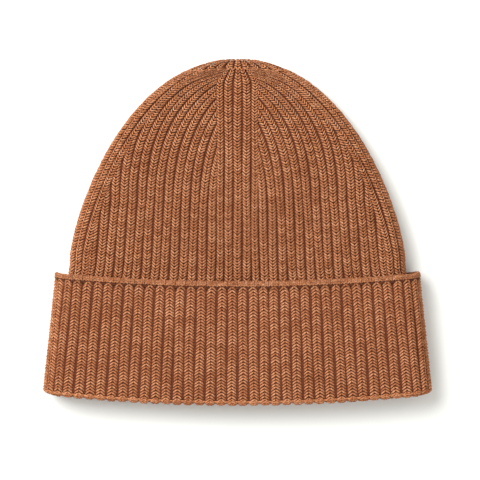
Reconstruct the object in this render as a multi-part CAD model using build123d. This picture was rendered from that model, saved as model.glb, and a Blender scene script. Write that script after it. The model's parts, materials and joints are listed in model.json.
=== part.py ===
from build123d import *
import math
import os

# Rib-knit watch cap laid flat: X across, Y towards the crown tip, Z up from the surface it lies on.
# The mouth and the fold are at low y, and the finished shapes are moved so that y = 0 is mid-length.

# Fabric and gaps
fabric = 3.0                      # thickness of one relaxed layer of rib knit
wrap_gap = 0.3                    # clearance between the cap's body and its turned-up cuff
swing_gap = 0.3                   # clearance at the hinge line of the cuff
cavity_depth = 10.0               # free space between the front and back layers at the mouth

# Overall sizes
tip_y = 198.5                     # folded length, fold to crown tip
cuff_half_width = 111.2           # outside of the cuff at the fold
cuff_taper = 7.6                  # how much narrower each side of the cuff is at its cast-on edge
cuff_depth = 71.5                 # fold to cast-on edge, along the middle
fold_round = 2.4                  # rounding of the fabric where it turns over
fold_sag = 5.5                    # how far the fold's middle hangs below its ends
edge_sag = 4.5                    # the same for the cast-on edge
sag_inset = 6.2                   # both sags are measured this far in from the fold's ends
corner_r = 4.0                    # rounding of the cuff's bottom corners
edge_band = 4.6                   # width of the cast-on edge
mouth_end = 8.0                   # half width of the body inside the cuff is counted from here
body_inset = 13.8                 # the body leaves the cuff this much narrower than the fold, each side

# Ribs
rib_pitch = 5.27                  # body rib
cuff_rib_pitch = 6.17             # cuff rib at the fold
cuff_rib_pitch_top = 5.78         # cuff rib at the cast-on edge
groove_width = 1.1
groove_depth = 0.8
groove_steps = 12                 # stations along a crown groove
cuff_grooves = 17                 # grooves either side of the middle one
band_half = 1.5 * rib_pitch       # the middle band is three ribs wide
band_tip_half = 2.0               # and draws in to this half width at the tip
side_band = 14.0                  # width of the band that runs round each side edge

# Seam and label
seam_half = 1.5
seam_ridge = 1.2                  # the seam stands this proud of the inside
label_width = 20.0
label_length = 38.0
label_thick = 0.6
label_y = 22.0
label_gap = 0.25                  # the label lies this far above the inside of the back
gather_length = 6.0               # the drawn-together tip is this long
solid_tip = 12.5                  # the free space inside ends this far from the tip

# Levels through the folded cuff, from the surface up
layer = fabric + wrap_gap
back_in = layer + fabric
front_in = back_in + cavity_depth
total = front_in + fabric + layer
middle_z = total / 2
fold_len = (2 * fabric + wrap_gap) / 2
# The hinge sits so that both halves, turned down, clear the middle plane by half a gap
fold_rise = total / 4 + wrap_gap / 2

# Crown: it leaves the cuff at this distance, and its outline and its height both draw in to the tip
crown_start = 12.5                # from the cast-on edge
crown_inset = 15.5                # the crown starts this much narrower than the fold, each side
crown_drop = 2.0                  # and this much lower than the cuff
tip_height = 6.0
crown_steps = 12
split_share = 0.52                # the front and back of the crown part at this share of its height
sink = 0.4                        # the crown is built this far below the surface, then cut flat
crown_y = cuff_depth + crown_start
sag_x = cuff_half_width - sag_inset
far_x = cuff_half_width + 20
far_y = tip_y + 22
crown_height = total - crown_drop
crown_half_width = cuff_half_width - crown_inset
body_top_half_width = cuff_half_width - body_inset
gather_y = tip_y - gather_length
cavity_end = tip_y - solid_tip


def crown_share(y):
    return (y - crown_y) / (tip_y - crown_y)


def crown_width(y):
    """Half width of the crown's outline at y."""
    return crown_half_width * (1 - crown_share(y) ** 1.4) ** (1 / 2.2)


def crown_top(y):
    """Height of the crown's upper surface at y."""
    return tip_height + (crown_height - tip_height) * (1 - crown_share(y) ** 2.2) ** 0.6


# Stations along the crown, closer together towards the tip
crown = []
for i in range(crown_steps + 1):
    station = crown_y + (tip_y - crown_y) * min(math.sin(math.pi / 2 * i / crown_steps), 0.9985)
    crown.append((station, crown_width(station), crown_top(station)))


def slot_at(y, half_width, low, high):
    """Rounded section of the cap at y."""
    plane = Plane(origin=(0, y, (low + high) / 2), x_dir=(1, 0, 0), z_dir=(0, 1, 0))
    return plane * SlotOverall(2 * half_width, high - low)


def cuff_width(y):
    return cuff_half_width - cuff_taper * (y - fold_len) / cuff_depth


def body_width(y):
    low = cuff_width(mouth_end) - layer
    share = (y - mouth_end) / (cuff_depth + 3.5 - mouth_end)
    return low + (body_top_half_width - low) * share


def tube(inset_side, inset_low, inset_high, y_from, y_to):
    """The cap's body between two distances, with its surface moved in by the insets."""
    top_y = cuff_depth + 3.5
    low = layer + inset_low
    high = total - layer - inset_high
    cuff_part = loft(
        [
            slot_at(y_from, body_width(y_from) - inset_side, low, high),
            slot_at(top_y, body_width(top_y) - inset_side, low, high),
        ],
        ruled=True,
    )
    sections = []
    for y, half_width, top in crown:
        if y <= y_to + 0.01:
            sections.append(slot_at(y, half_width - inset_side, inset_low - sink, top - inset_high))
    step = loft([slot_at(top_y, body_width(top_y) - inset_side, low, high), sections[0]], ruled=True)
    dome = loft(sections)
    return cuff_part + step + dome


def cuff_tube(inset):
    """The cuff's outside, moved in by the inset, past both its ends."""
    ends = []
    for y in (-6.0, cuff_depth + 12.0):
        ends.append(slot_at(y, cuff_width(y) - inset, inset, total - inset))
    return loft(ends, ruled=True)


def arc_line(rise, sag, half_span):
    """Line across the cap whose middle is at rise and whose ends are sag higher."""
    if sag == 0:
        return Line((-half_span, rise), (half_span, rise))
    return ThreePointArc((-half_span, rise + sag), (0, rise), (half_span, rise + sag))


def strip(low_rise, low_sag, high_rise, high_sag):
    """Plan region between two curved lines, as a tall solid. The sags are measured at sag_x."""
    half_span = cuff_half_width + 6.8
    ref = sag_x
    scale = (half_span / ref) ** 2
    low_ends = low_rise + low_sag * scale
    high_ends = high_rise + high_sag * scale
    low_line = arc_line(low_rise, low_sag * scale, half_span)
    high_line = arc_line(high_rise, high_sag * scale, half_span)
    left = Line((-half_span, low_ends), (-half_span, high_ends))
    right = Line((half_span, low_ends), (half_span, high_ends))
    face = make_face(Curve() + [low_line, right, high_line, left])
    return Pos(0, 0, -5) * extrude(face, total + 12)


def block(x0, x1, y0, y1, z0, z1):
    size = Box(x1 - x0, y1 - y0, z1 - z0)
    return Pos((x0 + x1) / 2, (y0 + y1) / 2, (z0 + z1) / 2) * size


def half(front):
    """Everything in front of or behind the surface that runs between the two layers."""
    edge = total + 20 if front else -20
    pts = [(-20, middle_z), (crown_y + 0.14 * (tip_y - crown_y), middle_z)]
    for share in (0.58, 0.79, 0.948):
        y = crown_y + share * (tip_y - crown_y)
        pts.append((y, min(middle_z, crown_top(y) * split_share)))
    pts.append((far_y, pts[-1][1]))
    side = Plane.YZ * make_face(Polyline(*pts, (far_y, edge), (-20, edge), close=True))
    return Pos(-far_x, 0, 0) * extrude(side, 2 * far_x)


def outline_at(y):
    """Half width of the body at y."""
    return body_width(y) if y < crown_y else crown_width(y)


def band_at(y):
    """Half width of the middle band: straight, then drawn in at the tip."""
    if y <= cavity_end:
        return band_half
    return band_half - (band_half - band_tip_half) * (y - cavity_end) / solid_tip


def side_at(y):
    """Inner edge of the side band."""
    return max(outline_at(y) - side_band, band_at(y) + 0.6)


def side_region(sign):
    """Plan region outside the side band's inner edge."""
    ys = [2, cuff_depth / 2, cuff_depth + 3.5] + [s[0] for s in crown if s[0] < gather_y - 1] + [gather_y + 0.01]
    pts = [(sign * side_at(y), y) for y in ys]
    pts += [(sign * far_x, gather_y + 0.01), (sign * far_x, 2)]
    face = make_face(Polyline(*pts, close=True))
    return Pos(0, 0, -5) * extrude(face, total + 12)


def groove_lines():
    """Plan lines of the grooves on the right half, each in up to two straight stretches."""
    step = (gather_y - crown_y) / groove_steps
    ys = [crown_y - 10] + [crown_y + step * k for k in range(groove_steps)] + [gather_y - 1]
    middles = [(band_at(y) + side_at(y)) / 2 for y in ys]
    lines = []
    for k in range(1, cuff_grooves + 1):
        points = []
        for y, middle in zip(ys, middles):
            x = band_half + rib_pitch * k + middle - middles[0]
            if band_at(y) + 0.5 < x < side_at(y) - 0.5:
                points.append((x, y))
        if len(points) > 4:
            lines.append([points[0], points[len(points) // 2], points[-1]])
        elif len(points) > 1:
            lines.append([points[0], points[-1]])
    return lines


def groove_level(y):
    """Height of the crown's upper surface, level below where the crown starts."""
    return crown_top(max(y, crown_y))


def groove_box(a, b, level_a, level_b):
    """Box along a plan line, centred on a surface that runs from level_a to level_b."""
    run = math.hypot(b[0] - a[0], b[1] - a[1])
    lean = math.degrees(math.atan2(b[0] - a[0], b[1] - a[1]))
    pitch = math.degrees(math.atan2(level_b - level_a, run))
    place = Pos((a[0] + b[0]) / 2, (a[1] + b[1]) / 2, (level_a + level_b) / 2)
    return place * Rot(0, 0, -lean) * Rot(pitch, 0, 0) * Box(groove_width, run + 1, 2 * groove_depth)


# Whole tubes
body_out = tube(0, 0, 0, 2.0, tip_y)
cavity = tube(fabric, fabric, fabric, 2.0, cavity_end)
above_floor = block(-far_x, far_x, -20, far_y, 0, total + 20)

shell = (body_out - cavity) & strip(fold_len + swing_gap, fold_sag, tip_y + 5, 0) & above_floor

# Nodes of the body
left_region = side_region(-1)
right_region = side_region(1)
gather_region = block(-far_x, far_x, gather_y, tip_y + 5, -5, total + 5)
seam_region = block(-seam_half, seam_half, 0, gather_y, -5, middle_z)
band_pts = [(band_half, 2), (band_half, cavity_end), (band_at(gather_y), gather_y)]
band_face = make_face(Polyline(*band_pts, *[(-x, y) for x, y in reversed(band_pts)], close=True))
band_region = Pos(0, 0, middle_z) * extrude(band_face, total)

rest = shell - gather_region
parts = {}
parts["crown_gather"] = shell & gather_region
parts["left_side_band"] = rest & left_region
parts["right_side_band"] = rest & right_region
panels = rest - left_region - right_region
front = panels & half(True)
back = panels & half(False)
parts["front_centre_band"] = front & band_region
front_gores = front - band_region
parts["front_left_gore"] = front_gores & block(-far_x, 0, 0, far_y, -5, 60)
parts["front_right_gore"] = front_gores & block(0, far_x, 0, far_y, -5, 60)
back_gores = back - seam_region
parts["back_left_gore"] = back_gores & block(-far_x, 0, 0, far_y, -5, 60)
parts["back_right_gore"] = back_gores & block(0, far_x, 0, far_y, -5, 60)

# The linked seam: through the fabric, with a ridge on the inside
ridge = (cavity & block(-seam_half, seam_half, 8, cavity_end - 10, -5, middle_z)) - tube(
    fabric, fabric + seam_ridge, fabric, 2.0, cavity_end
)
parts["back_seam"] = (back & seam_region) + ridge

# The turned-up cuff and the fold
corner_rise = fold_sag * (cuff_half_width / sag_x) ** 2
corners = make_face(
    Curve()
    + [
        arc_line(0, corner_rise, cuff_half_width),
        Line((cuff_half_width, corner_rise), (cuff_half_width, far_y)),
        Line((cuff_half_width, far_y), (-cuff_half_width, far_y)),
        Line((-cuff_half_width, far_y), (-cuff_half_width, corner_rise)),
    ]
)
low_corners = corners.vertices().sort_by(Axis.Y)[:2]
corners = fillet(low_corners, corner_r)
rounded = Pos(0, 0, -5) * extrude(corners, total + 12)

cuff_out = cuff_tube(0) & rounded
cuff_in = cuff_tube(fabric)
ring = cuff_out - cuff_in
cuff_strip = strip(fold_len, fold_sag, cuff_depth - edge_band, edge_sag)
edge_strip = strip(cuff_depth - edge_band, edge_sag, cuff_depth, edge_sag)
panel_ring = ring & cuff_strip
edge_ring = ring & edge_strip

# Shallow grooves between the cuff's ribs, fanning out towards the fold
cuts_above = []
cuts_below = []
for i in range(-cuff_grooves, cuff_grooves + 1):
    x_low = cuff_rib_pitch * i
    x_high = cuff_rib_pitch_top * i
    if abs(x_low) < cuff_half_width - 10:
        y_from = fold_len - 1
        y_to = cuff_depth + 6
        lean = math.degrees(math.atan2(x_low - x_high, y_to - y_from))
        groove = Box(groove_width, (y_to - y_from) * 1.1, groove_depth * 2)
        place = Pos((x_low + x_high) / 2, (y_from + y_to) / 2, 0) * Rot(0, 0, lean)
        cuts_above.append(Pos(0, 0, total) * place * groove)
        if i != 0:
            cuts_below.append(place * groove)

seam_slab = block(-seam_half, seam_half, -10, far_y, -5, middle_z)
parts["front_cuff_panel"] = panel_ring & half(True)
parts["front_cuff_edge"] = edge_ring & half(True)
back_panel = panel_ring & half(False)
parts["back_cuff_left"] = (back_panel - seam_slab) & block(-far_x, 0, -10, far_y, -5, 60)
parts["back_cuff_right"] = (back_panel - seam_slab) & block(0, far_x, -10, far_y, -5, 60)
parts["cuff_seam"] = back_panel & seam_slab
parts["back_cuff_edge"] = edge_ring & half(False)

fold_ring = (cuff_out - loft(
    [
        slot_at(-8.0, body_width(-8.0) - fabric, back_in, front_in),
        slot_at(20.0, body_width(20.0) - fabric, back_in, front_in),
    ],
    ruled=True,
)) & strip(0, fold_sag, fold_len, fold_sag)
fold_ring = fillet(fold_ring.faces().sort_by(Axis.Y)[0].edges(), fold_round)
parts["front_fold"] = fold_ring & half(True)
parts["back_fold"] = fold_ring & half(False)

parts["front_cuff_panel"] = parts["front_cuff_panel"] - cuts_above
for name in ("back_cuff_left", "back_cuff_right"):
    parts[name] = parts[name] - cuts_below

# Shallow grooves between the crown's ribs
for sign, side in ((-1, "left"), (1, "right")):
    above = []
    below = []
    for line in groove_lines():
        for (x_a, y_a), (x_b, y_b) in zip(line, line[1:]):
            start = (sign * x_a, y_a)
            stop = (sign * x_b, y_b)
            above.append(groove_box(start, stop, groove_level(y_a), groove_level(y_b)))
            if y_a > crown_y + 4:
                below.append(groove_box(start, stop, 0, 0))
    parts["front_" + side + "_gore"] = parts["front_" + side + "_gore"] - above
    parts["back_" + side + "_gore"] = parts["back_" + side + "_gore"] - below
middle_grooves = []
for x in (-rib_pitch / 2, rib_pitch / 2):
    stops = [crown_y - 6] + [crown_y + share * (tip_y - crown_y) for share in (0.23, 0.53, 0.75)] + [gather_y - 4]
    for y_a, y_b in zip(stops, stops[1:]):
        middle_grooves.append(groove_box((x, y_a), (x, y_b), groove_level(y_a), groove_level(y_b)))
parts["front_centre_band"] = parts["front_centre_band"] - middle_grooves

# The care label lies on the back, caught in the seam along its left edge
label_x = seam_half + 0.3
label_z = back_in + label_gap
parts["care_label"] = block(
    label_x, label_x + label_width, label_y, label_y + label_length, label_z, label_z + label_thick
)

os.makedirs("parts", exist_ok=True)
for name, shape in parts.items():
    solids = shape.solids()
    print(name, len(solids), round(sum(s.volume for s in solids)))
    export_step(Pos(0, -tip_y / 2, 0) * Compound(children=list(solids)), "parts/" + name + ".step")
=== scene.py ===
import bpy
import bmesh
import json
import math
import numpy as np
from mathutils import Matrix, Vector


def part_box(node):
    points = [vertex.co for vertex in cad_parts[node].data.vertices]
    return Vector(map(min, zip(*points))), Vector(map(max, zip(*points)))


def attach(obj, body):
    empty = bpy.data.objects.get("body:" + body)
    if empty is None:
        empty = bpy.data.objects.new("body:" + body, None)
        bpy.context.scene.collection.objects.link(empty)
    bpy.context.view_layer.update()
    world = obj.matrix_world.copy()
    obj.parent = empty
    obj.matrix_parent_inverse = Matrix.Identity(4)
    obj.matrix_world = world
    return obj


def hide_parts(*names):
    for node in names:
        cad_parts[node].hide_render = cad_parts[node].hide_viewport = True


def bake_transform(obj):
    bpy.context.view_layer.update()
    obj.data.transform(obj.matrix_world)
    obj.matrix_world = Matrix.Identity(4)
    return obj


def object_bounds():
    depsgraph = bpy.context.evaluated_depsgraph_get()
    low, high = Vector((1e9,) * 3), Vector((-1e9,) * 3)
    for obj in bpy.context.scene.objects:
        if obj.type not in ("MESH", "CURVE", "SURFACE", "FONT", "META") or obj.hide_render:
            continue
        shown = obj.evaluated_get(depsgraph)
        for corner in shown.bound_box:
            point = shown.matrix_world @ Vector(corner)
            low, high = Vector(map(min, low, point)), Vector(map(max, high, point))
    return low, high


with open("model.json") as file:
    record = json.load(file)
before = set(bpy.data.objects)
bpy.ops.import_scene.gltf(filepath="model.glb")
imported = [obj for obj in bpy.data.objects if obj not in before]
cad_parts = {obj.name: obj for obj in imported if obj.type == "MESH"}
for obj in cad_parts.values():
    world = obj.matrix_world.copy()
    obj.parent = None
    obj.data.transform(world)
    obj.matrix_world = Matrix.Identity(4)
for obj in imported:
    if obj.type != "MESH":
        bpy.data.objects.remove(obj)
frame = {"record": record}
cadLow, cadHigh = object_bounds()
print("frame loaded", tuple(round(v, 4) for v in cadHigh - cadLow))

# the cap's shape, in metres, with y counted from the fold
foldY = cadLow.y
capLength = cadHigh.y - cadLow.y + 0.0004
capDepth = cadHigh.z - cadLow.z

fabric = {"thick": 0.003, "gap": 0.0003, "baseTop": 0.0021}
cuff = {
    "half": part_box("front_fold")[1].x + 0.0020,   # half width at the fold, stitches standing out a little
    "taper": 0.0076,
    "depth": 0.0715,
    "foldSag": 0.0055,                            # the fold's middle hangs below its ends
    "sagHalf": 0.105,                             # half width over which the fold hangs
    "edgeSag": 0.0045,
    "edgeSagHalf": 0.100,
    "band": 0.0046,                               # cast-on edge
    "corner": 0.0042,                             # rounding of the bottom corners
    "cornerY": 0.0103,
    "cornerReach": 0.012,
    "ribs": 38,
}
crown = {
    "start": 0.084,
    "half": 0.0966,
    "height": 0.0206,
    "tipHeight": 0.0062,
    "intoCuff": 0.0978,                           # half width where the body leaves the cuff
    "insideFrom": 0.008,
    "insideTo": 0.075,
    "leave": 0.070,                               # the body starts to rise out of the cuff here
    "tipRound": 0.005,
    "gatherStart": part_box("crown_gather")[0].y - foldY,
    "peak": 0.0012,                               # how far the closing yarn draws the tip up
    "peakLength": 0.014,
    "peakHalf": 0.013,
    "sideBand": 0.0125,
    "shapingStart": 0.110,                        # ribs start to run together here
    "shaping": 5.0,
}
turnR = fabric["thick"] + fabric["gap"] / 2       # radius of the fabric where it turns over
layer = fabric["thick"] + fabric["gap"]
edgeRound = 0.012


def smooth(t):
    t = np.clip(t, 0, 1)
    return t * t * (3 - 2 * t)


def cuffShape(y):
    half = cuff["half"] - cuff["taper"] * (y - turnR) / cuff["depth"]
    return half, np.zeros_like(y), np.full_like(y, capDepth)


def bodyShape(y):
    share = np.clip((y - crown["start"]) / (capLength - crown["start"]), 0, 0.99999)
    domeHalf = crown["half"] * (1 - share ** 1.4) ** (1 / 2.2)
    domeTop = crown["tipHeight"] + (crown["height"] - crown["tipHeight"]) * (1 - share ** 2.2) ** 0.6
    inCuff = cuff["half"] - layer - 0.0021
    inCuff = inCuff + (crown["intoCuff"] - inCuff) \
        * (y - crown["insideFrom"]) / (crown["insideTo"] - crown["insideFrom"])
    out = smooth((y - crown["leave"]) / (crown["start"] - crown["leave"]))
    half = inCuff + (domeHalf - inCuff) * out
    low = layer * (1 - out)
    high = (capDepth - layer) * (1 - out) + domeTop * out
    tip = np.sqrt(1 - np.clip((y - capLength + crown["tipRound"]) / crown["tipRound"], 0, 0.999) ** 2)
    middle = (low + high) / 2
    return half, middle + (low - middle) * tip, middle + (high - middle) * tip


# half width, flat half and quarter girth of a section
def section(shape, y):
    half, low, high = shape(y)
    edge = np.minimum(edgeRound, 0.42 * half)
    radius = (edge + (high - low) / 2) / 2
    return half, low, high, edge, radius, half - edge + math.pi / 2 * radius


# point on the cap's outside: s runs round the section from the middle of the front,
# and past the side onto the back
def capPoint(shape, s, y):
    half, low, high, edge, radius, quarter = section(shape, y)
    s = np.where(s > 2 * quarter, s - 4 * quarter, np.where(s < -2 * quarter, s + 4 * quarter, s))
    t = np.abs(s)
    back = t > quarter
    t = np.where(back, 2 * quarter - t, t)
    flat = half - edge
    angle = np.clip((t - flat) / radius, 0, math.pi / 2)
    x = np.where(t < flat, t, flat + edge * np.sin(angle))
    z = (high - low) / 2 * np.cos(angle)
    z = (high + low) / 2 + np.where(back, -z, z)
    return np.stack([np.sign(s) * x, y, z], axis=1)


def capNormal(shape, s, y):
    step = 0.0004
    quarter = section(shape, y)[5]
    above = capPoint(shape, s * section(shape, y + step)[5] / quarter, y + step)
    below = capPoint(shape, s * section(shape, y - step)[5] / quarter, y - step)
    across = capPoint(shape, s + step, y) - capPoint(shape, s - step, y)
    normal = np.cross(across, above - below)
    return normal / np.maximum(np.linalg.norm(normal, axis=1), 1e-12)[:, None]


def capSurface(shape, s, y, height):
    return capPoint(shape, s, y) + capNormal(shape, s, y) * height[:, None]


# the closing yarn draws the very tip up into a slight peak
def peaked(points):
    near = smooth((points[:, 1] - capLength + crown["peakLength"]) / crown["peakLength"])
    points[:, 1] += crown["peak"] * near * np.exp(-((points[:, 0] / crown["peakHalf"]) ** 2))
    return points


def bodySurface(s, y, height):
    return peaked(capSurface(bodyShape, s, y, height))


# rounds the cuff's bottom corners off in plan
def cornered(points):
    y = points[:, 1]
    sunk = np.clip((cuff["cornerY"] - y) / cuff["corner"], 0, 1)
    rounding = cuff["corner"] * (1 - np.sqrt(1 - sunk ** 2))
    half = cuffShape(y)[0]
    share = smooth((np.abs(points[:, 0]) - half + cuff["cornerReach"]) / cuff["cornerReach"])
    points[:, 0] -= np.sign(points[:, 0]) * rounding * share
    return points


def cuffSurface(s, y, height):
    return cornered(capSurface(cuffShape, s, y, height))


def foldLine(s):
    return cuff["foldSag"] * (np.abs(s) / cuff["sagHalf"]) ** 2


def quarterOf(shape, y):
    return section(shape, y)[5]


def meshFrom(bm, name):
    mesh = bpy.data.meshes.new(name)
    bm.to_mesh(mesh)
    bm.free()
    return mesh


def linked(name, data):
    made = bpy.data.objects.new(name, data)
    bpy.context.scene.collection.objects.link(made)
    return made


# one stitch, and swatches of it
stitch = {
    "around": 6,
    "along": 5,
    "yarn": 0.42,          # half width of the yarn along the rib, in rows
    "yarnHeight": 0.0007,
    "rise": 1.25,          # how far a leg climbs from the rib's middle to its side, in rows
    "drop": 0.0019,        # how far it dives into the groove
    "reach": 0.55,         # half length of a leg across the rib, in half ribs
    "place": 0.47,
}


# a stitch lies in a unit cell: x across the rib, y along it in rows, z the height in metres
# its map holds how near the rib's middle a place is, and how near the yarn's top, which the wool uses to paint
# shade in the grooves and down the yarn's sides
def stitchMesh(look):
    look = {**stitch, **look}
    bm = bmesh.new()
    yarnMap = bm.loops.layers.uv.new("yarn")
    bmesh.ops.create_uvsphere(bm, u_segments=look["around"], v_segments=look["along"], radius=1)
    bmesh.ops.rotate(bm, verts=bm.verts, matrix=Matrix.Rotation(math.pi / 2, 3, "Y"))
    for f in bm.faces:
        for corner in f.loops:
            corner[yarnMap].uv = (0.5 - 0.5 * corner.vert.co.x, 0.5 + 0.5 * corner.vert.co.z)
    for v in bm.verts:
        across = look["place"] + look["reach"] * v.co.x
        climb = look["rise"] * max(across, 0) ** 1.2
        v.co = Vector((
            across / 2,
            (-climb if look["pointUp"] else climb) + v.co.y * look["yarn"],
            (v.co.z - 1) * look["yarnHeight"] - look["drop"] * max(across, 0) ** 2.5,
        ))
    other = bmesh.ops.duplicate(bm, geom=bm.verts[:] + bm.edges[:] + bm.faces[:])["geom"]
    otherVerts = [g for g in other if isinstance(g, bmesh.types.BMVert)]
    bmesh.ops.scale(bm, verts=otherVerts, vec=(-1, 1, 1))
    bmesh.ops.reverse_faces(bm, faces=[g for g in other if isinstance(g, bmesh.types.BMFace)])
    return meshFrom(bm, "stitch")


# a whole block of stitches, and which rib and row each vertex belongs to
def swatch(ribs, rows, look):
    base = stitchMesh(look)
    size = len(base.vertices)
    maker = linked("swatch", base)
    for name, count, offset in (("across", ribs, (1, 0, 0)), ("along", rows, (0, 1, 0))):
        array = maker.modifiers.new(name, "ARRAY")
        array.use_relative_offset = False
        array.use_constant_offset = True
        array.constant_offset_displace = offset
        array.count = count
    graph = bpy.context.evaluated_depsgraph_get()
    mesh = bpy.data.meshes.new_from_object(maker.evaluated_get(graph))
    bpy.data.objects.remove(maker)
    index = np.arange(len(mesh.vertices)) // size
    return mesh, index % ribs, index // ribs


def readPoints(mesh):
    points = np.empty(len(mesh.vertices) * 3, np.float32)
    mesh.vertices.foreach_get("co", points)
    return points.reshape(-1, 3).astype(float)


def writePoints(mesh, points):
    mesh.vertices.foreach_set("co", points.astype(np.float32).ravel())
    mesh.update()


def scatter(a, b, seed):
    value = np.sin(a * 12.9898 + b * 78.233 + seed * 37.719) * 43758.5453
    return value - np.floor(value)


def joined(name, meshes, material):
    bm = bmesh.new()
    for mesh in meshes:
        bm.from_mesh(mesh)
    for f in bm.faces:
        f.smooth = True
    mesh = meshFrom(bm, name)
    for old in meshes:
        bpy.data.meshes.remove(old)
    piece = linked(name, mesh)
    mesh.materials.append(material)
    return piece


def withoutLoose(mesh, keep):
    bm = bmesh.new()
    bm.from_mesh(mesh)
    bm.verts.ensure_lookup_table()
    bmesh.ops.delete(bm, geom=[bm.verts[i] for i in np.flatnonzero(~keep)], context="VERTS")
    bm.to_mesh(mesh)
    bm.free()
    return mesh


# lays a swatch along rib paths on a surface, with each rib's rows fitted to its length
lay = {
    "samples": 160,        # places measured along each rib
    "uneven": 0.12,        # how unevenly the rows sit, in rows
    "wave": 0.00022,       # how far a rib wanders
    "past": 0.0006,        # stitches stop this far past a piece's limits
    "tuck": 0.0016,        # and those past them sink this much
    "ribWidth": 0.0052,    # a rib this wide stands at full height
    "seat": 0.00012,
}


def knit(surface, look, ribs, path, halfWidth, limits, yStart, yStop, inside=False, seed=0):
    rowPitch = look["rowPitch"]
    tables = []
    for k in ribs:
        y = np.linspace(0, 1, lay["samples"])
        s = path(k, np.full_like(y, 0.05))
        y = yStart(s) + (yStop(s) - yStart(s)) * y
        s = path(k, y)
        steps = np.linalg.norm(np.diff(surface(s, y, 0 * y), axis=0), axis=1)
        tables.append((y, np.concatenate([[0], np.cumsum(steps)])))
    fitted = [max(1, round(length[-1] / rowPitch)) for _, length in tables]
    rows = max(fitted)
    mesh, rib, row = swatch(len(ribs), rows, look)
    points = readPoints(mesh)
    points[:, 0] -= rib
    points[:, 1] -= row
    nudge = scatter(rib.astype(float), row.astype(float), seed) - 0.5
    keep = np.zeros(len(points), bool)
    out = np.zeros_like(points)
    for j, k in enumerate(ribs):
        mine = rib == j
        yTable, length = tables[j]
        step = length[-1] / fitted[j]
        reach = (row[mine] + 0.5) * step
        place = reach + points[mine, 1] * step + nudge[mine] * lay["uneven"] * step
        y = np.interp(place, length, yTable) + np.minimum(place, 0)
        if not look.get("closed"):
            y = y + np.maximum(place - length[-1], 0)
        middleY = np.interp(reach, length, yTable)
        width = halfWidth(k, y)
        lean = (path(k, y + 0.0005) - path(k, y - 0.0005)) / 0.001
        upright = 1 / np.sqrt(1 + lean ** 2)
        across = 2 * points[mine, 0] * (-1 if inside else 1)
        wave = lay["wave"] * np.sin(y * 95 + k * 2.1 + seed) * min(1, rowPitch / 0.0015)
        s = path(k, y) + wave + across * width * upright ** 2
        y = y - across * width * upright ** 2 * lean
        if look.get("closed"):
            y = np.minimum(y, capLength - 0.0004)
        low, high = limits(y)
        over = np.maximum(np.maximum(low - s, s - high), 0)
        s = np.clip(s, low - lay["past"], high + lay["past"])
        narrow = np.clip(2 * width * upright / lay["ribWidth"], 0.3, 1.15)
        height = points[mine, 2] * narrow * look.get("depth", 1) + nudge[mine] * 0.00025 \
            - smooth(over / 0.0018) * lay["tuck"] - lay["seat"]
        if inside:
            height = -fabric["thick"] - height
        out[mine] = surface(s, y, height)
        middle = path(k, middleY)
        lowMid, highMid = limits(middleY)
        slack = 0.8 * halfWidth(k, middleY)
        keep[mine] = (middle > lowMid - slack) & (middle < highMid + slack) & (row[mine] < fitted[j])
    out[:, 1] += foldY
    writePoints(mesh, out)
    tone = mesh.attributes.new("tone", "FLOAT", "POINT")
    tone.data.foreach_set("value", (scatter(rib + 0.5, row + 0.5, seed + 2) - 0.5).astype(np.float32))
    return withoutLoose(mesh, keep)


# the plain sheet under the stitches, closed, with a shallow relief of the ribs where one is given; its one map
# place sets its painted groove shade, and the default paints it fully dark
def backing(surface, limits, yStart, yStop, across, along, relief=None, top=None, thick=0.0009, paintedShadeUv=(0, 0)):
    top = fabric["baseTop"] if top is None else top
    bm = bmesh.new()
    yarnMap = bm.loops.layers.uv.new("yarn")
    bmesh.ops.create_grid(bm, x_segments=across, y_segments=along, size=0.5)
    for f in bm.faces:
        for corner in f.loops:
            corner[yarnMap].uv = paintedShadeUv
    mesh = meshFrom(bm, "backing")
    points = readPoints(mesh)
    f = points[:, 0] + 0.5
    g = points[:, 1] + 0.5
    low, high = limits(np.full_like(f, 0.05))
    guess = low + (high - low) * f
    y = yStart(guess) + (yStop(guess) - yStart(guess)) * g
    low, high = limits(y)
    s = low + (high - low) * f
    y = yStart(s) + (yStop(s) - yStart(s)) * g
    height = -top + (relief(s, y) if relief else 0 * s)
    points = surface(s, y, height)
    points[:, 1] += foldY
    writePoints(mesh, points)
    return solid(mesh, thick)


def solid(mesh, thick):
    maker = linked("solid", mesh)
    thicken = maker.modifiers.new("thick", "SOLIDIFY")
    thicken.thickness = thick
    thicken.offset = -1
    graph = bpy.context.evaluated_depsgraph_get()
    made = bpy.data.meshes.new_from_object(maker.evaluated_get(graph))
    bpy.data.objects.remove(maker)
    bpy.data.meshes.remove(mesh)
    return made


bodyStitch = {"rowPitch": 0.00172, "pointUp": False}
cuffStitch = {"rowPitch": 0.00172, "pointUp": True, "reach": 0.59, "place": 0.51}
liningStitch = {"rowPitch": 0.0021, "pointUp": True, "depth": 0.42}
chainStitch = {"rowPitch": 0.0012, "pointUp": True, "rise": 0.5, "drop": 0.0003, "yarn": 0.6, "depth": 1.1,
               "reach": 0.75, "place": 0.5}
foldStitch = {"rowPitch": 0.00155, "pointUp": False, "drop": 0.0011}


def pitch(y):
    return np.interp(y, [turnR, 0.080, 0.118, 0.150, capLength], [0.00617, 0.00527, 0.00505, 0.0052, 0.0052])


def drawIn(y):
    return 1 - 0.75 * smooth((y - 0.184) / (capLength - 0.184))


def bandEdge(y):
    return 1.5 * pitch(y) * drawIn(y)


# the rib beside the middle band, which the shaped ribs run into
def besideEdge(y):
    return 2.36 * pitch(y) * drawIn(y)


def sideEdge(y):
    return np.maximum(bodyShape(y)[0] - crown["sideBand"], besideEdge(y) + 0.0008)


def lost(y):
    u = np.clip((y - crown["shapingStart"]) / (capLength - crown["shapingStart"]), 0, 0.995)
    return -crown["shaping"] * np.log(1 - u ** 2)


def mouthStart(s):
    return foldLine(s) + turnR + fabric["gap"]


def toGather(s):
    return np.full_like(s, crown["gatherStart"])


def bodyQuarter(y):
    return quarterOf(bodyShape, y)


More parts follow.
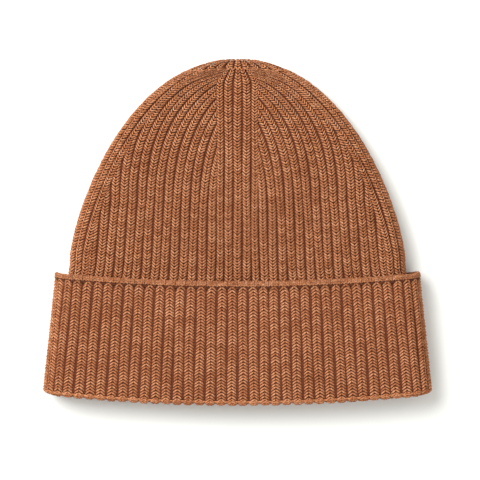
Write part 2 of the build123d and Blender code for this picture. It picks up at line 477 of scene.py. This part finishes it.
def cuffQuarter(y):
    return quarterOf(cuffShape, y)


# front gores: ribs lean towards the tip and end against the middle band and the side band
def bandPath(k, y):
    return k * pitch(y) * drawIn(y)


def bandHalf(k, y):
    return 0.5 * pitch(y) * drawIn(y)


def besideHalf(k, y):
    return 0.43 * pitch(y) * drawIn(y)


def ribHalf(k, y):
    return 0.5 * pitch(y)


def seamEdge(y):
    return np.full_like(y, 0.0015)


sideRibs = 7


def sidePath(side, k, y):
    low = sideEdge(y)
    high = 2 * bodyQuarter(y) - low
    return side * (low + (high - low) * (k + 0.5) / sideRibs)


def sideHalf(k, y):
    low = sideEdge(y)
    return (bodyQuarter(y) - low) / sideRibs


# a shader socket that takes part in arithmetic
class Value:
    def __init__(self, tree, socket):
        self.tree = tree
        self.socket = socket

    def make(self, operation, a, b=None):
        made = node(self.tree, "ShaderNodeMath", {"operation": operation}, [a] if b is None else [a, b])
        return Value(self.tree, made.outputs[0])

    def __add__(self, other):
        return self.make("ADD", self, other)

    def __radd__(self, other):
        return self.make("ADD", other, self)

    def __sub__(self, other):
        return self.make("SUBTRACT", self, other)

    def __rsub__(self, other):
        return self.make("SUBTRACT", other, self)

    def __mul__(self, other):
        return self.make("MULTIPLY", self, other)

    def __rmul__(self, other):
        return self.make("MULTIPLY", other, self)

    def sine(self):
        return self.make("SINE", self)


def node(tree, kind, settings=None, inputs=None):
    made = tree.nodes.new(kind)
    for name, value in (settings or {}).items():
        if name == "stops":
            while len(made.color_ramp.elements) < len(value):
                made.color_ramp.elements.new(0.5)
            for element, (place, color) in zip(made.color_ramp.elements, value):
                element.position = place
                element.color = color
        else:
            setattr(made, name, value)
    pairs = inputs.items() if isinstance(inputs, dict) else enumerate(inputs or [])
    for name, value in pairs:
        socket = made.inputs[name]
        if isinstance(value, Value):
            value = value.socket
        if isinstance(value, bpy.types.NodeSocket):
            tree.links.new(value, socket)
        else:
            socket.default_value = value
    return made


def newMaterial(name):
    material = bpy.data.materials.new(name)
    material.use_nodes = True
    tree = material.node_tree
    tree.nodes.clear()
    shader = node(tree, "ShaderNodeBsdfPrincipled")
    output = node(tree, "ShaderNodeOutputMaterial")
    tree.links.new(shader.outputs[0], output.inputs[0])
    return material, tree, shader


def tinted(color, amount):
    return [min(1, c * amount) for c in color[:3]] + [1]


wool = {
    "dark": (0.15, 0.034, 0.009, 1),
    "middle": (0.36, 0.110, 0.038, 1),
    "warm": (0.56, 0.215, 0.085, 1),
    "pale": (0.84, 0.47, 0.28, 1),
    "sheenTint": (0.8, 0.35, 0.16, 1),
    "roughness": 0.88,
    "fibreScale": 2600,
    "heatherScale": 1500,
    "patchScale": 38,
    "groove": 0.10,               # painted shade: how dark a stitch is painted where it dives between ribs
    # colour of the painted shade in the grooves
    "grooveTint": (0.16, 0.08, 0.045, 1),
    "paintedSideShade": 0.58,               # and the painted shade down its sides
    "stitchTone": 0.05,
}


def woolMaterial(name, brightness):
    material, tree, shader = newMaterial(name)
    place = node(tree, "ShaderNodeTexCoord").outputs["Object"]
    heather = Value(tree, node(tree, "ShaderNodeTexNoise", None, {
        "Vector": place, "Scale": wool["heatherScale"], "Detail": 5, "Roughness": 0.75}).outputs[0])
    fibre = Value(tree, node(tree, "ShaderNodeTexNoise", None, {
        "Vector": place, "Scale": wool["fibreScale"], "Detail": 3, "Roughness": 0.7}).outputs[0])
    patch = Value(tree, node(tree, "ShaderNodeTexNoise", None, {
        "Vector": place, "Scale": wool["patchScale"], "Detail": 2}).outputs[0])
    yarn = node(tree, "ShaderNodeSeparateXYZ", None, {
        0: node(tree, "ShaderNodeUVMap", {"uv_map": "yarn"}).outputs[0]})
    along = Value(tree, yarn.outputs[0])
    top = Value(tree, yarn.outputs[1])
    tone = Value(tree, node(tree, "ShaderNodeAttribute", {"attribute_name": "tone"}).outputs[2])
    twist = (along * 30.0 + top * 12.0).sine() * 0.5 + 0.5
    # painted shade: stitches are darkened where they dive between ribs and down the yarn's sides
    paintedGrooveFactor = Value(tree, node(tree, "ShaderNodeMapRange", {"interpolation_type": "SMOOTHSTEP"}, {
        0: along, 1: 0.03, 2: 0.28, 3: wool["groove"], 4: 1.0}).outputs[0])
    paintedSideShade = Value(tree, node(tree, "ShaderNodeMapRange", {"interpolation_type": "SMOOTHSTEP"}, {
        0: top, 1: 0.50, 2: 0.97, 3: wool["paintedSideShade"], 4: 1.0}).outputs[0])
    clear = paintedGrooveFactor * paintedSideShade
    shade = heather * 0.5 + fibre * 0.45 + patch * 0.05 + tone * wool["stitchTone"]
    ramp = node(tree, "ShaderNodeValToRGB", {"stops": [
        (0.39, tinted(wool["dark"], brightness)),
        (0.46, tinted(wool["middle"], brightness)),
        (0.52, tinted(wool["warm"], brightness)),
        (0.61, tinted(wool["pale"], brightness)),
    ]}, {0: shade})
    # the painted shade colour multiplies the wool colour
    paintedShadeColor = node(tree, "ShaderNodeMix", {"data_type": "RGBA"}, {
        0: clear, 6: wool["grooveTint"], 7: (1, 1, 1, 1)})
    shown = node(tree, "ShaderNodeMix", {"data_type": "RGBA", "blend_type": "MULTIPLY"}, {
        0: 1.0, 6: ramp.outputs[0], 7: paintedShadeColor.outputs[2]})
    tree.links.new(shown.outputs[2], shader.inputs["Base Color"])
    shader.inputs["Roughness"].default_value = wool["roughness"]
    shader.inputs["Specular IOR Level"].default_value = 0.25
    shader.inputs["Sheen Weight"].default_value = 0.2
    shader.inputs["Sheen Roughness"].default_value = 0.45
    shader.inputs["Sheen Tint"].default_value = wool["sheenTint"]
    relief = fibre * 0.6 + heather * 0.6 + twist * 0.45
    bump = node(tree, "ShaderNodeBump", None, {"Strength": 0.75, "Distance": 0.00028, "Height": relief})
    tree.links.new(bump.outputs[0], shader.inputs["Normal"])
    return material


knitWool = woolMaterial("knitWool", 0.92)
seamWool = woolMaterial("seamWool", 0.78)
edgeWool = woolMaterial("edgeWool", 0.80)


def satinMaterial():
    material, tree, shader = newMaterial("labelSatin")
    place = node(tree, "ShaderNodeTexCoord").outputs["Object"]
    axes = node(tree, "ShaderNodeSeparateXYZ", None, {0: place})
    warp = (Value(tree, axes.outputs[0]) * 18000).sine()
    weft = (Value(tree, axes.outputs[1]) * 26000).sine()
    bump = node(tree, "ShaderNodeBump", None, {
        "Strength": 0.25, "Distance": 0.00005, "Height": warp * 0.5 + weft * 0.5})
    tree.links.new(bump.outputs[0], shader.inputs["Normal"])
    shader.inputs["Base Color"].default_value = (0.80, 0.77, 0.70, 1)
    shader.inputs["Roughness"].default_value = 0.42
    return material


labelSatin = satinMaterial()


def frameSlot(nodeName):
    return next(p["material_slot"] for p in frame["record"]["subparts"] if p["node"] == nodeName)


def knitPiece(name, body, nodeName, parts, material=knitWool):
    piece = joined(name, parts, material)
    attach(piece, body)
    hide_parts(nodeName)
    frameSlot(nodeName)
    print(name, len(piece.data.polygons), "faces")


# the gores and the side band of one side, -1 for left and 1 for right
def sidePieces(side, word):
    def ordered(low, high):
        return (low, high) if side > 0 else (-high, -low)

    def frontLimits(y):
        return ordered(bandEdge(y), sideEdge(y))

    def shapedLimits(y):
        return ordered(besideEdge(y), sideEdge(y))

    def frontPath(k, y):
        return side * (besideEdge(y) + pitch(y) * (k + 0.5 - lost(y)))

    def besidePath(k, y):
        return side * (bandEdge(y) + besideEdge(y)) / 2

    def backLimits(y):
        turn = 2 * bodyQuarter(y)
        return ordered(turn - sideEdge(y), turn - seamEdge(y))

    def backPath(k, y):
        return side * (2 * bodyQuarter(y) - seamEdge(y) - pitch(y) * (k + 0.5 - lost(y)))

    def sideLimits(y):
        low = sideEdge(y)
        return ordered(low, 2 * bodyQuarter(y) - low)

    def bandRibs(k, y):
        return sidePath(side, k, y)

    knitPiece("front" + word + "GoreKnit", "crown", "front_" + word.lower() + "_gore", [
        knit(bodySurface, bodyStitch, list(range(15)), frontPath, ribHalf, shapedLimits,
             mouthStart, toGather, seed=side),
        knit(bodySurface, bodyStitch, [0], besidePath, besideHalf, frontLimits,
             mouthStart, toGather, seed=7 + side),
        backing(bodySurface, frontLimits, mouthStart, toGather, 30, 60),
    ])
    knitPiece("back" + word + "GoreKnit", "crown", "back_" + word.lower() + "_gore", [
        knit(bodySurface, bodyStitch, list(range(17)), backPath, ribHalf, backLimits,
             mouthStart, toGather, seed=3 + side),
        backing(bodySurface, backLimits, mouthStart, toGather, 30, 60),
    ])
    knitPiece("side" + word + "BandKnit", "crown", word.lower() + "_side_band", [
        knit(bodySurface, bodyStitch, list(range(sideRibs)), bandRibs, sideHalf, sideLimits,
             mouthStart, toGather, seed=6 + side),
        backing(bodySurface, sideLimits, mouthStart, toGather, 24, 60),
    ])


for side, word in ((-1, "Left"), (1, "Right")):
    sidePieces(side, word)


def middleLimits(y):
    return -bandEdge(y), bandEdge(y)


knitPiece("frontBandKnit", "crown", "front_centre_band", [
    knit(bodySurface, bodyStitch, [-1, 0, 1], bandPath, bandHalf, middleLimits, mouthStart, toGather, seed=9),
    backing(bodySurface, middleLimits, mouthStart, toGather, 12, 60),
])


seam = {"bodyHalf": 0.0018, "cuffHalf": 0.0017, "room": 0.0015}
seamStitch = {"rowPitch": 0.0021, "pointUp": True}


def seamLimits(y):
    turn = 2 * bodyQuarter(y)
    return turn - seam["bodyHalf"], turn + seam["bodyHalf"]


knitPiece("backSeamYarn", "crown", "back_seam", [
    knit(bodySurface, seamStitch, [0], lambda k, y: 2 * bodyQuarter(y),
         lambda k, y: np.full_like(y, seam["bodyHalf"]), seamLimits, mouthStart, toGather, seed=10),
    backing(bodySurface, seamLimits, mouthStart, toGather, 4, 60),
], seamWool)

# the drawn-together tip: ribs run round the whole section and close on it
gatherRibs = 22


def tipStart(s):
    return np.full_like(s, crown["gatherStart"] - 0.0004)


def tipStop(s):
    return np.full_like(s, capLength - 0.0006)


def tipLimits(y):
    turn = 2 * bodyQuarter(y)
    return -turn, turn


def openTip(y):
    turn = 4 * bodyQuarter(y)
    return -turn, turn


def tipClose(s):
    return np.full_like(s, capLength - 0.00001)


def tipPath(k, y):
    return (2 * k / gatherRibs - 1) * 2 * bodyQuarter(y)


def tipHalf(k, y):
    return 2 * bodyQuarter(y) / gatherRibs


# the closing yarn, drawn up into a flat knot just inside the tip
knot = {"halfWidth": 0.0085, "halfLength": 0.0024, "halfHeight": 0.0029, "inside": 0.0042, "level": 0.0032}


def tipKnot():
    bm = bmesh.new()
    bmesh.ops.create_uvsphere(bm, u_segments=32, v_segments=16, radius=1)
    for v in bm.verts:
        ridge = 1 + 0.10 * math.cos(9 * math.atan2(v.co.z, v.co.x))
        v.co = Vector((
            v.co.x * knot["halfWidth"] * ridge,
            foldY + capLength - knot["inside"] + v.co.y * knot["halfLength"],
            knot["level"] + v.co.z * knot["halfHeight"] * ridge,
        ))
    # made without a yarn map, the knot takes the full painted groove shade and shows as a dark slot
    return meshFrom(bm, "knot")


knitPiece("tipGatherKnit", "crown", "crown_gather", [
    knit(bodySurface, {**bodyStitch, "closed": True}, list(range(gatherRibs)), tipPath, tipHalf,
         openTip, tipStart, tipStop, seed=11),
    backing(bodySurface, tipLimits, tipStart, tipClose, 66, 24, top=0.0022, thick=0.0004),
    tipKnot(),
])


# the turned-up cuff
halfRibs = cuff["ribs"] // 2


# distance of a place round the cuff from the middle of its own half, front or back
def fromMiddle(s):
    t = np.abs(s)
    quarter = cuffQuarter(np.full_like(t, 0.04))
    return np.where(t > quarter, np.abs(2 * quarter - t), t)


def cuffTop(s):
    return cuff["depth"] + cuff["edgeSag"] * (fromMiddle(s) / cuff["edgeSagHalf"]) ** 2 - cuff["band"]


def cuffBottom(s):
    return foldLine(fromMiddle(s)) + turnR


# a second way up the cuff: past its top edge the path rolls over and comes down the inner face
def edgeSurface(s, t, height):
    radius = fabric["thick"] / 2
    straight = cuff["band"] - radius
    angle = np.clip((t - straight) / radius, 0, math.pi)
    down = np.maximum(t - straight - math.pi * radius, 0)
    base = cuffTop(s) + np.minimum(t, straight) + (radius + height) * np.sin(angle) - down
    return capSurface(cuffShape, s, base, (radius + height) * np.cos(angle) - radius)


# the fabric turning over at the fold: t runs from the cuff's outer face round to the body's inner face
def foldSurface(s, t, height):
    y = foldLine(fromMiddle(s)) + turnR
    angle = (t / turnR)[:, None]
    reach = (turnR + height)[:, None]
    normal = capNormal(cuffShape, s, y)
    middle = capPoint(cuffShape, s, y) - turnR * normal
    return cornered(middle + reach * (np.cos(angle) * normal - np.sin(angle) * np.array([0, 1, 0])))


def cuffRibHalf(k, y):
    return cuffQuarter(y) / cuff["ribs"]


def foldRibHalf(k, t):
    return cuffQuarter(np.full_like(t, turnR)) / cuff["ribs"]


def foldRib(k, t):
    return (2 * k + 1) * foldRibHalf(k, t)


def cuffRib(k, y):
    return (2 * k + 1) * cuffRibHalf(k, y)


def cuffInnerRib(k, y):
    return 2 * k * cuffRibHalf(k, y)


def edgeRibHalf(k, t):
    return cuffQuarter(np.full_like(t, cuff["depth"])) / cuff["ribs"]


def edgeRib(k, t):
    return (2 * k + 1) * edgeRibHalf(k, t)


def chainHalf(k, t):
    return edgeRibHalf(k, t) / 3


def chain(k, t):
    return (2 * k + 1) * chainHalf(k, t)


def fromZero(s):
    return 0 * s


def chainStart(s):
    return np.full_like(s, 0.0018)


def chainStop(s):
    return edgeStop(s) - 0.0014


def edgeStop(s):
    return np.full_like(s, 2 * cuff["band"] + (math.pi - 2) * fabric["thick"] / 2)


def foldStop(s):
    return np.full_like(s, math.pi * turnR)


# the back halves stop short of the seam, two quarters round
def besideSeam(quarters):
    return -math.copysign(seam["room"], quarters) if abs(quarters) == 2 else 0


def between(low, high):
    def limits(y):
        quarter = cuffQuarter(np.clip(y, turnR, 1))
        return low * quarter + besideSeam(low), high * quarter + besideSeam(high)
    return limits


# the same where the girth is that of one level
def betweenAt(level, low, high):
    def limits(t):
        quarter = cuffQuarter(np.full_like(t, level))
        return low * quarter, high * quarter
    return limits


# the cuff's sheet follows its ribs, and the folds' sheet gets less painted groove shade, as it shows when the
# cuff is down
reliefSheet = {"relief": 0.00045, "top": 0.00155, "thick": 0.0003, "foldPaintedShadeUv": (0.3, 0.85)}


def cuffRelief(s, y):
    return reliefSheet["relief"] * np.cos(2 * math.pi * (s / (2 * cuffRibHalf(0, np.clip(y, turnR, 1))) - 0.5))


def cuffLining(low, high, seed):
    ribs = list(range(round(low * halfRibs) + 1, round(high * halfRibs)))
    return [knit(cuffSurface, liningStitch, ribs, cuffInnerRib, cuffRibHalf, between(low, high),
                 cuffBottom, cuffTop, inside=True, seed=seed)]


def cuffPanel(low, high, seed):
    ribs = list(range(round(low * halfRibs), round(high * halfRibs)))
    limits = between(low, high)
    wide = round(abs(high - low) * 57)
    return [
        knit(cuffSurface, cuffStitch, ribs, cuffRib, cuffRibHalf, limits, cuffBottom, cuffTop, seed=seed),
        backing(cuffSurface, limits, cuffBottom, cuffTop, wide * 2, 30,
                cuffRelief, reliefSheet["top"], reliefSheet["thick"]),
    ]


def cuffEdge(low, high, seed):
    ribs = list(range(round(low * halfRibs), round(high * halfRibs)))
    links = list(range(3 * ribs[0], 3 * ribs[-1] + 3))
    limits = betweenAt(cuff["depth"], low, high)
    return [
        knit(edgeSurface, cuffStitch, ribs, edgeRib, edgeRibHalf, limits, fromZero, chainStart, seed=seed),
        knit(edgeSurface, chainStitch, links, chain, chainHalf, limits, chainStart, chainStop, seed=seed),
        backing(edgeSurface, limits, fromZero, edgeStop, 114, 24, top=0.0009, thick=0.0004),
    ]


def foldRelief(s, t):
    return cuffRelief(s, np.full_like(t, turnR))


def cuffFold(low, high, seed):
    ribs = list(range(round(low * halfRibs), round(high * halfRibs)))
    limits = betweenAt(turnR, low, high)
    return [
        knit(foldSurface, foldStitch, ribs, foldRib, foldRibHalf, limits, fromZero, foldStop, seed=seed),
        backing(foldSurface, limits, fromZero, foldStop, 228, 16,
                foldRelief, reliefSheet["top"], reliefSheet["thick"], reliefSheet["foldPaintedShadeUv"]),
    ]


knitPiece("frontCuffKnit", "front_cuff", "front_cuff_panel", cuffPanel(-1, 1, 12))
knitPiece("frontCuffLining", "front_cuff", "front_cuff_panel", cuffLining(-1, 1, 13))
knitPiece("frontCuffEdge", "front_cuff", "front_cuff_edge", cuffEdge(-1, 1, 14), edgeWool)
knitPiece("backCuffRightKnit", "back_cuff", "back_cuff_right", cuffPanel(1, 2, 15))
knitPiece("backCuffLeftKnit", "back_cuff", "back_cuff_left", cuffPanel(-2, -1, 17))
knitPiece("backCuffRightLining", "back_cuff", "back_cuff_right", cuffLining(1, 2, 16))
knitPiece("backCuffLeftLining", "back_cuff", "back_cuff_left", cuffLining(-2, -1, 18))
knitPiece("backCuffEdge", "back_cuff", "back_cuff_edge", cuffEdge(1, 3, 19), edgeWool)


def cuffSeamLimits(y):
    turn = 2 * cuffQuarter(y)
    return turn - seam["cuffHalf"], turn + seam["cuffHalf"]


knitPiece("cuffSeamYarn", "back_cuff", "cuff_seam", [
    knit(cuffSurface, seamStitch, [0], lambda k, y: 2 * cuffQuarter(y),
         lambda k, y: np.full_like(y, seam["cuffHalf"]), cuffSeamLimits, cuffBottom, cuffTop, seed=21),
    backing(cuffSurface, cuffSeamLimits, cuffBottom, cuffTop, 4, 30, top=0.0010, thick=0.0015),
], seamWool)

# the folds, where the fabric turns over between the body and the cuff's two halves
for name, nodeName, body, low, high, zFrom, zTo in (
        ("frontFoldKnit", "front_fold", "front_cuff", -1, 1, capDepth - layer - fabric["thick"], capDepth),
        ("backFoldKnit", "back_fold", "back_cuff", 1, 3, layer + fabric["thick"], 0)):
    piece = joined(name, cuffFold(low, high, 22), knitWool)
    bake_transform(piece)
    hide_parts(nodeName)
    frameSlot(nodeName)
    print(name, len(piece.data.polygons), "faces")


# the care label, sewn in by its lower edge
label = {
    "low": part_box("care_label")[0],
    "high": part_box("care_label")[1],
    "thick": 0.0003,
    "hem": 0.0012,
}


def labelMesh():
    size = label["high"] - label["low"]
    centre = (label["high"] + label["low"]) / 2
    bm = bmesh.new()
    bmesh.ops.create_grid(bm, x_segments=40, y_segments=76, size=0.5)
    for v in bm.verts:
        x, y = v.co.x * size.x, v.co.y * size.y
        edge = min(size.x / 2 - abs(x), size.y / 2 - abs(y))
        fold = 0.00008 * smooth(1 - edge / label["hem"])
        v.co = Vector((centre.x + x, centre.y + y, label["low"].z + label["thick"] + 0.0001 + float(fold)))
    return solid(meshFrom(bm, "label"), label["thick"])


labelPiece = joined("careLabel", [labelMesh()], labelSatin)
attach(labelPiece, "care_label")
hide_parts("care_label")
print("careLabel", len(labelPiece.data.polygons), "faces")


# the studio
bm = bmesh.new()
bmesh.ops.create_grid(bm, x_segments=1, y_segments=1, size=3)
floorMesh = meshFrom(bm, "floor")
floor = linked("floor", floorMesh)
floorMaterial, floorTree, floorShader = newMaterial("floorPaint")
floorShader.inputs["Base Color"].default_value = (0.85, 0.865, 0.84, 1)
floorShader.inputs["Roughness"].default_value = 0.6
floorMesh.materials.append(floorMaterial)

scene = bpy.context.scene
world = bpy.data.worlds.new("room")
scene.world = world
world.use_nodes = True
world.node_tree.nodes["Background"].inputs[0].default_value = (1, 0.98, 0.94, 1)
world.node_tree.nodes["Background"].inputs[1].default_value = 0.55
scene.view_settings.view_transform = "Standard"


def softLight(name, place, size, power):
    light = bpy.data.lights.new(name, "AREA")
    light.size = size
    light.energy = power
    lamp = linked(name, light)
    lamp.location = place
    lamp.rotation_euler = (-Vector(place)).to_track_quat("-Z", "Y").to_euler()


softLight("keyLight", (-0.66, 0.52, 1.0), 0.95, 26)
softLight("fillLight", (0.8, -0.3, 1.2), 1.0, 5)

cameraData = bpy.data.cameras.new("camera")
camera = linked("camera", cameraData)
scene.camera = camera
view = {"x": 0.0014, "y": -0.0043, "width": 0.2746, "lens": 240, "level": 0.0125}
cameraData.lens = view["lens"]
cameraData.sensor_width = 36
distance = view["width"] * view["lens"] / cameraData.sensor_width
camera.location = (view["x"], view["y"], view["level"] + distance)
cameraData.clip_start = 0.01
print("studio ready")
